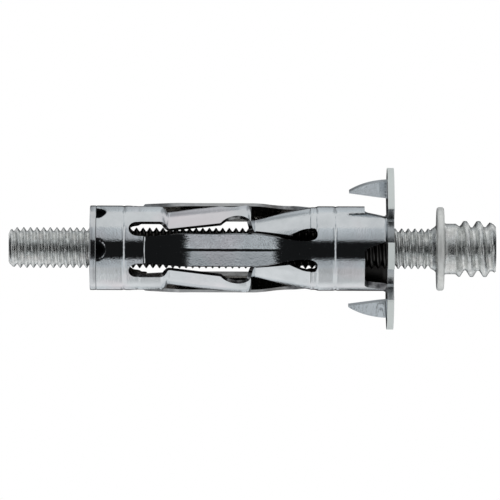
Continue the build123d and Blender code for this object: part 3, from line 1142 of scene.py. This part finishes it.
class Bench:
    """A node tree with short calls to add and link its nodes."""

    def __init__(self, tree: bpy.types.NodeTree) -> None:
        """Work on one node tree."""
        self.tree = tree

    @classmethod
    def cleared(cls, owner: bpy.types.ID) -> "Bench":
        """Start on the emptied node tree of a material or a world."""
        owner.use_nodes = True
        owner.node_tree.nodes.clear()
        return cls(owner.node_tree)

    def field(self, name: str) -> Socket:
        """Read one of the piece's own fields."""
        return self.node("ShaderNodeAttribute", attribute_name=name).outputs["Fac"]

    def away(self, value: object, centre: float) -> Socket:
        """Distance of a value from a centre."""
        return self.maths("ABSOLUTE", self.maths("SUBTRACT", value, centre))

    def node(
        self, kind: str, inputs: dict[str | int, object] | None = None, **settings: object
    ) -> bpy.types.Node:
        """Add a node, set it up and feed its inputs.

        Args:
            kind: The node's type.
            inputs: A value or an output socket for each named input.
            settings: Attributes of the node itself.

        Returns:
            The new node.
        """
        made = self.tree.nodes.new(kind)
        for key, value in settings.items():
            setattr(made, key, value)
        for key, value in (inputs or {}).items():
            if isinstance(value, Socket):
                self.tree.links.new(value, made.inputs[key])
            else:
                made.inputs[key].default_value = value
        return made

    def maths(self, operation: str, first: object, second: object = 0.0) -> Socket:
        """Add a Math node on two values or sockets and return its output."""
        return self.node("ShaderNodeMath", {0: first, 1: second}, operation=operation).outputs[0]

    def blend(self, share: object, first: object, second: object) -> Socket:
        """Add a colour mix from first to second by a share and return its output."""
        made = self.node("ShaderNodeMix", {0: share, 6: first, 7: second}, data_type="RGBA")
        return made.outputs[2]

    def noise(self, inputs: dict[str, object], **settings: object) -> Socket:
        """Add a Noise texture, of two octaves unless the inputs say more."""
        return self.node("ShaderNodeTexNoise", {"Detail": 2.0, **inputs}, **settings).outputs[0]

    def remap(
        self, value: object, low: float, high: float, to_low: float = 0.0, to_high: float = 1.0
    ) -> Socket:
        """Add a clamped Map Range node and return its output."""
        inputs = {0: value, 1: low, 2: high, 3: to_low, 4: to_high}
        return self.node("ShaderNodeMapRange", inputs, clamp=True).outputs[0]


def rgba(colour: Triple) -> tuple[float, float, float, float]:
    """A colour with full alpha."""
    return (*colour, 1.0)


class PlatedSurface:
    """Shared node group: masks of clouding, tint, grain and painted edge highlight of a plated
    surface.
    """

    _group: bpy.types.NodeTree | None = None

    @classmethod
    def group(cls) -> bpy.types.NodeTree:
        """Build the group once and return it."""
        if cls._group is None:
            cls._group = cls._build()
        return cls._group

    @staticmethod
    def _build() -> bpy.types.NodeTree:
        """Noise at two sizes, a slow tint field, tool lines and the surface's pointed places.

        Returns:
            The node group with its sockets.
        """
        tree = bpy.data.node_groups.new("plated_surface", "ShaderNodeTree")
        for name in ("Grain Size", "Cloud Size"):
            tree.interface.new_socket(name, in_out="INPUT", socket_type="NodeSocketFloat")
        for name in ("Cloud", "Tint", "Grain", "Edge", "Turned"):
            tree.interface.new_socket(name, in_out="OUTPUT", socket_type="NodeSocketFloat")
        bench = Bench(tree)
        given = bench.node("NodeGroupInput")
        place = bench.node("ShaderNodeTexCoord").outputs["Object"]
        wide, fine = given.outputs["Cloud Size"], given.outputs["Grain Size"]
        slow = bench.maths("MULTIPLY", wide, TINT_SCALE)
        along = bench.node("ShaderNodeSeparateXYZ", {0: place}).outputs[0]
        cloud = bench.noise({"Vector": place, "Scale": wide, "Detail": 4.0, "Roughness": 0.6})
        grain = bench.noise({"Vector": place, "Scale": fine, "Roughness": 0.55})
        tint = bench.noise({"Vector": place, "Scale": slow, "Distortion": 0.6})
        turned = bench.noise({"W": along, "Scale": TOOL_LINES}, noise_dimensions="1D")
        pointed = bench.node("ShaderNodeNewGeometry").outputs["Pointiness"]
        results = {
            "Cloud": bench.remap(cloud, 0.34, 0.68),
            "Tint": bench.remap(tint, 0.5, 0.72),
            "Grain": grain,
            # Pointed places: the mask of the painted edge highlight.
            "Edge": bench.remap(pointed, 0.52, 0.60),
            "Turned": bench.remap(turned, 0.35, 0.65),
        }
        bench.node("NodeGroupOutput", results)
        return tree


def plated(finish: Finish, *patches: Patch) -> bpy.types.Material:
    """Metal whose colour, gloss and grain come from the shared plated surface.

    Args:
        finish: Colours and gloss.
        patches: Parts of the piece with a look of their own or painted shade, later ones on top.

    Returns:
        The material.
    """
    material = bpy.data.materials.new(finish.name)
    bench = Bench.cleared(material)
    group = bench.node(
        "ShaderNodeGroup",
        {"Grain Size": finish.grain, "Cloud Size": finish.cloud},
        node_tree=PlatedSurface.group(),
    )
    surface = group.outputs
    colour = bench.blend(surface["Cloud"], rgba(finish.dark), rgba(finish.light))
    tinted = bench.maths("MULTIPLY", surface["Tint"], TINT_SHARE)
    colour = bench.blend(tinted, colour, rgba(finish.tint))
    # Painted highlight: pointed edges are lightened towards a pale grey.
    lit = bench.maths("MULTIPLY", surface["Edge"], finish.edge_light)
    colour = bench.blend(lit, colour, rgba(EDGE_HIGHLIGHT))
    streaks = bench.maths("MULTIPLY", surface["Turned"], finish.turned)
    colour = bench.blend(streaks, colour, rgba(finish.dark))
    gloss = bench.remap(surface["Cloud"], 0.0, 1.0, finish.gloss_high, finish.gloss_low)
    metal, edge = 1.0, rgba((1.0, 1.0, 1.0))
    for patch in patches:
        mask = bench.remap(bench.field(patch.attribute), *patch.edge, 0.0, patch.share)
        colour = bench.blend(mask, colour, rgba(patch.colour))
        # Dark patches darken the specular tint too, so their painted shade also dims the
        # reflection.
        edge = bench.blend(mask, edge, rgba(patch.colour))
        gloss = bench.node("ShaderNodeMix", {0: mask, 2: gloss, 3: patch.gloss}).outputs[0]
        metal = bench.node("ShaderNodeMix", {0: mask, 2: metal, 3: patch.metal}).outputs[0]
    height = bench.maths("ADD", surface["Grain"], streaks)
    bump = bench.node(
        "ShaderNodeBump",
        {"Height": height, "Distance": finish.grain_height, "Strength": 1.0},
    )
    inputs = {
        "Base Color": colour,
        "Roughness": gloss,
        "Normal": bump.outputs[0],
        "Metallic": metal,
        "Specular Tint": edge,
    }
    shader = bench.node("ShaderNodeBsdfPrincipled", inputs)
    bench.node("ShaderNodeOutputMaterial", {"Surface": shader.outputs[0]})
    return material


# ---------------------------------------------------------------- stage
WHITE = rgba((1.0, 1.0, 1.0))


@dataclass(frozen=True)
class StageSizes:
    """Sizes of the floor, the dark cards and the camera, in millimetres and degrees.

    Pairs are where a change starts and ends, or the glow before and after it.
    """

    floor: float = -160.0
    floor_half: float = 1500.0
    card_radius: float = 130.0
    card_low: float = -62.0
    card_high: float = 60.0
    card_half: float = 35.0
    card_grid: tuple[int, int] = (25, 24)
    card_glow: float = 0.012
    gap_turn: float = -1.1
    ring_turn: float = 5.6
    ring_past: Pair = (1.0, 1.6)
    low_edge: Pair = (-44.0, -27.0)
    low_soft: float = 1.5
    low_glow: Pair = (0.56, 0.85)
    high_edge: Pair = (22.0, 25.0)
    high_glow: Pair = (0.6, 0.4)
    end_turn: Pair = (9.0, 11.0)
    end_share: float = 0.62
    side_turn: float = 28.0
    sky: float = 0.86
    ground_glow: Pair = (0.58, 0.88)
    ground_middle: Pair = (-16.5, -50.0)
    ground_across: Pair = (19.0, 23.0)
    ground_along: Pair = (70.0, 120.0)
    camera_distance: float = 900.0
    camera_elevation: float = 2.8
    camera_roll: float = 0.2
    aim: Triple = (-16.5, 0.0, -0.21)
    view_width: float = 60.35


class Studio:
    """Floor, world, dark cards, lamps and camera around the part."""

    def __init__(self, sizes: StageSizes) -> None:
        """Keep the sizes."""
        self.sizes = sizes

    def pale(self, name: str) -> bpy.types.Material:
        """White surface that the camera sees as plain white.

        Mirrors see it dimmer, and dimmest in front of the part.
        """
        size = self.sizes
        material = bpy.data.materials.new(name)
        bench = Bench.cleared(material)
        path = bench.node("ShaderNodeLightPath").outputs
        direct = bench.maths("MAXIMUM", path["Is Camera Ray"], path["Is Transmission Ray"])
        share = bench.maths("MAXIMUM", direct, path["Is Glossy Ray"])
        place = bench.node("ShaderNodeTexCoord").outputs["Object"]
        parts = bench.node("ShaderNodeSeparateXYZ", {0: place}).outputs
        ranges = zip(parts, size.ground_middle, (size.ground_across, size.ground_along))
        across, along = [
            bench.remap(bench.away(part, middle * MM), near * MM, far * MM)
            for part, middle, (near, far) in ranges
        ]
        past = bench.maths("MAXIMUM", across, along)
        mirrored = bench.remap(past, 0.0, 1.0, *size.ground_glow)
        strength = bench.maths("MAXIMUM", direct, mirrored)
        matt = bench.node("ShaderNodeBsdfDiffuse", {"Color": rgba((0.9, 0.9, 0.9))})
        glow = bench.node("ShaderNodeEmission", {"Color": WHITE, "Strength": strength})
        shaders = {0: share, 1: matt.outputs[0], 2: glow.outputs[0]}
        mixed = bench.node("ShaderNodeMixShader", shaders)
        bench.node("ShaderNodeOutputMaterial", {"Surface": mixed.outputs[0]})
        return material

    def dim(self) -> bpy.types.Material:
        """Cards that the polished sleeve mirrors: black in the middle, pale towards the edges.

        The glow depends on the lift over the middle and on the turn from a card's own
        centre line. The black reaches lower in front of the two rings.
        """
        size = self.sizes
        material = bpy.data.materials.new("card_dim")
        bench = Bench.cleared(material)
        turn, lift = bench.field("turn"), bench.field("lift")
        sideways = bench.away(turn, 0.0)
        from_gap = bench.away(turn, size.gap_turn)
        past = bench.remap(bench.away(from_gap, size.ring_turn), *size.ring_past)
        bottom = bench.remap(past, 0.0, 1.0, *size.low_edge)
        side = bench.remap(sideways, size.side_turn, size.card_half)
        below = bench.maths("SUBTRACT", bottom, lift)
        low = bench.remap(below, -size.low_soft, size.low_soft)
        low = bench.maths("MULTIPLY", low, bench.remap(past, 0.0, 1.0, *size.low_glow))
        start, end = size.high_edge
        first, second = size.high_glow
        high = bench.remap(lift, start, end, 0.0, first)
        high = bench.maths("ADD", high, bench.remap(lift, end, size.card_high, 0.0, second))
        ends = bench.remap(sideways, *size.end_turn, 1.0, size.end_share)
        high = bench.maths("MULTIPLY", high, ends)
        edge = bench.maths("MAXIMUM", side, bench.maths("MAXIMUM", low, high))
        strength = bench.maths("MULTIPLY", edge, size.sky)
        strength = bench.maths("MAXIMUM", strength, size.card_glow)
        inputs = {"Color": rgba((0.93, 0.97, 1.0)), "Strength": strength}
        glow = bench.node("ShaderNodeEmission", inputs)
        bench.node("ShaderNodeOutputMaterial", {"Surface": glow.outputs[0]})
        return material

    def floor(self) -> None:
        """Large flat floor below the part."""
        size = self.sizes
        half = size.floor_half
        grid = np.array([[[-half, -half], [half, -half]], [[-half, half], [half, half]]])
        grid = np.concatenate([grid, np.full((2, 2, 1), size.floor)], axis=-1)
        sheet = SheetMesh()
        sheet.add(grid)
        piece = sheet.build("floor", 0.001)
        piece.data.materials.append(self.pale("floor_pale"))

    def cards(self) -> None:
        """Four dark curved cards round the part, seen only by mirrors.

        A point lies at x = R sin(a), y = -R cos(a), z = R tan(lift), from the aim.
        """
        size = self.sizes
        sheet = SheetMesh()
        columns, rows = size.card_grid
        swing = np.linspace(-size.card_half, size.card_half, columns)
        lift = np.tan(np.radians(np.linspace(size.card_low, size.card_high, rows)))[:, None]
        for centre in (0.0, 90.0, 180.0, 270.0):
            turn = np.radians(centre + swing)[None, :]
            place = np.broadcast_arrays(np.sin(turn), -np.cos(turn), lift)
            shift = np.array([size.aim[0], 0.0, 0.0])
            sheet.add(shift + size.card_radius * np.stack(place, axis=-1))
        piece = sheet.build("dark_cards", 0.001)
        spots = corners(piece) - np.array([size.aim[0], 0.0, 0.0])
        turn = np.degrees(np.arctan2(spots[:, 0], -spots[:, 1]))
        write_field(piece, "turn", (turn + 45.0) % 90.0 - 45.0)
        write_field(piece, "lift", np.degrees(np.arctan2(spots[:, 2], size.card_radius)))
        piece.data.materials.append(self.dim())
        for kind in ("camera", "diffuse", "transmission", "shadow", "volume_scatter"):
            setattr(piece, f"visible_{kind}", False)

    def world(self) -> None:
        """White surroundings: full white for the camera and mirrors, softer as a light."""
        world = bpy.data.worlds.new("white_room")
        bpy.context.scene.world = world
        bench = Bench.cleared(world)
        path = bench.node("ShaderNodeLightPath").outputs
        seen = bench.maths("MAXIMUM", path["Is Camera Ray"], path["Is Transmission Ray"])
        strength = bench.remap(seen, 0.0, 1.0, self.sizes.sky, 1.0)
        back = bench.node("ShaderNodeBackground", {"Color": WHITE, "Strength": strength})
        bench.node("ShaderNodeOutputWorld", {"Surface": back.outputs[0]})

    def lamp(
        self, name: str, place: Triple, side: float, power: float
    ) -> None:
        """Square soft lamp aimed at the part.

        Args:
            name: Name of the lamp.
            place: Where it stands, in millimetres.
            side: Length of its sides, in millimetres.
            power: Power in watts.
        """
        data = bpy.data.lights.new(name, "AREA")
        data.shape = "SQUARE"
        data.size = side * MM
        data.energy = power
        lamp = bpy.data.objects.new(name, data)
        lamp.location = [value * MM for value in place]
        aim = np.array(self.sizes.aim) - np.array(place)
        lamp.rotation_euler = look_along(aim)
        bpy.context.scene.collection.objects.link(lamp)

    def camera(self) -> None:
        """Camera at the height and distance of the part's usual front view."""
        size = self.sizes
        data = bpy.data.cameras.new("camera")
        data.lens = data.sensor_width * size.camera_distance / size.view_width
        data.clip_start = 0.01
        data.clip_end = 20.0
        camera = bpy.data.objects.new("camera", data)
        elevation = math.radians(size.camera_elevation)
        away = np.array([0.0, -math.cos(elevation), math.sin(elevation)])
        camera.location = (np.array(size.aim) + size.camera_distance * away) * MM
        roll = Matrix.Rotation(math.radians(size.camera_roll), 3, "Z")
        view = Euler(look_along(-away)).to_matrix() @ roll
        camera.rotation_euler = view.to_euler()
        bpy.context.scene.collection.objects.link(camera)
        bpy.context.scene.camera = camera

    def build(self) -> None:
        """Set up the whole stage."""
        self.floor()
        self.cards()
        self.world()
        self.lamp("lamp_above", (-60.0, 60.0, 320.0), 260.0, 0.004)
        self.lamp("lamp_low", (-16.0, 30.0, -80.0), 140.0, 0.006)
        self.camera()
        bpy.context.scene.view_settings.view_transform = "Standard"


def look_along(direction: Array) -> Triple:
    """Rotation that points an object's -Z along a direction, with Y up.

    Args:
        direction: The direction, of any length.

    Returns:
        Euler angles in radians.
    """
    x, y, z = direction / np.linalg.norm(direction)
    return (math.acos(-z), 0.0, math.atan2(-x, y))


# ---------------------------------------------------------------- assembly
def dress(
    piece: Piece, materials: list[bpy.types.Material], body: Body, node: str
) -> None:
    """Give a piece its materials, tie it to its body and hide the CAD node that it stands for.

    Args:
        piece: The finished piece.
        materials: Its materials in order.
        body: The rigid body that it moves with.
        node: The CAD node that it stands for.
    """
    for material in materials:
        piece.data.materials.append(material)
    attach(piece, body.value)
    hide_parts(node)
    LOG.info("%s: %d points, rides on %s", piece.name, len(piece.data.vertices), body.value)


def main() -> None:
    """Build the pieces in order, then the stage."""
    logging.basicConfig(level=logging.INFO, format="%(name)s: %(message)s")
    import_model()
    sleeve = [plated(BRIGHT, STAKE_SHADE), plated(SHADED_CUT, LEG_EDGE, RIM), plated(SHADED_INSIDE, THROAT_SHADE, OPEN)]
    dress(Sleeve().build(), sleeve, Body.ANCHOR, "sleeve")
    dress(Nut().build(), [plated(NUT_ZINC)], Body.ANCHOR, "nut")
    dress(Stud().build(), [plated(STUD_ZINC, STUD_SHADE, COLLAR)], Body.STUD, "screw")
    Studio(StageSizes()).build()


if __name__ == "__main__":
    main()
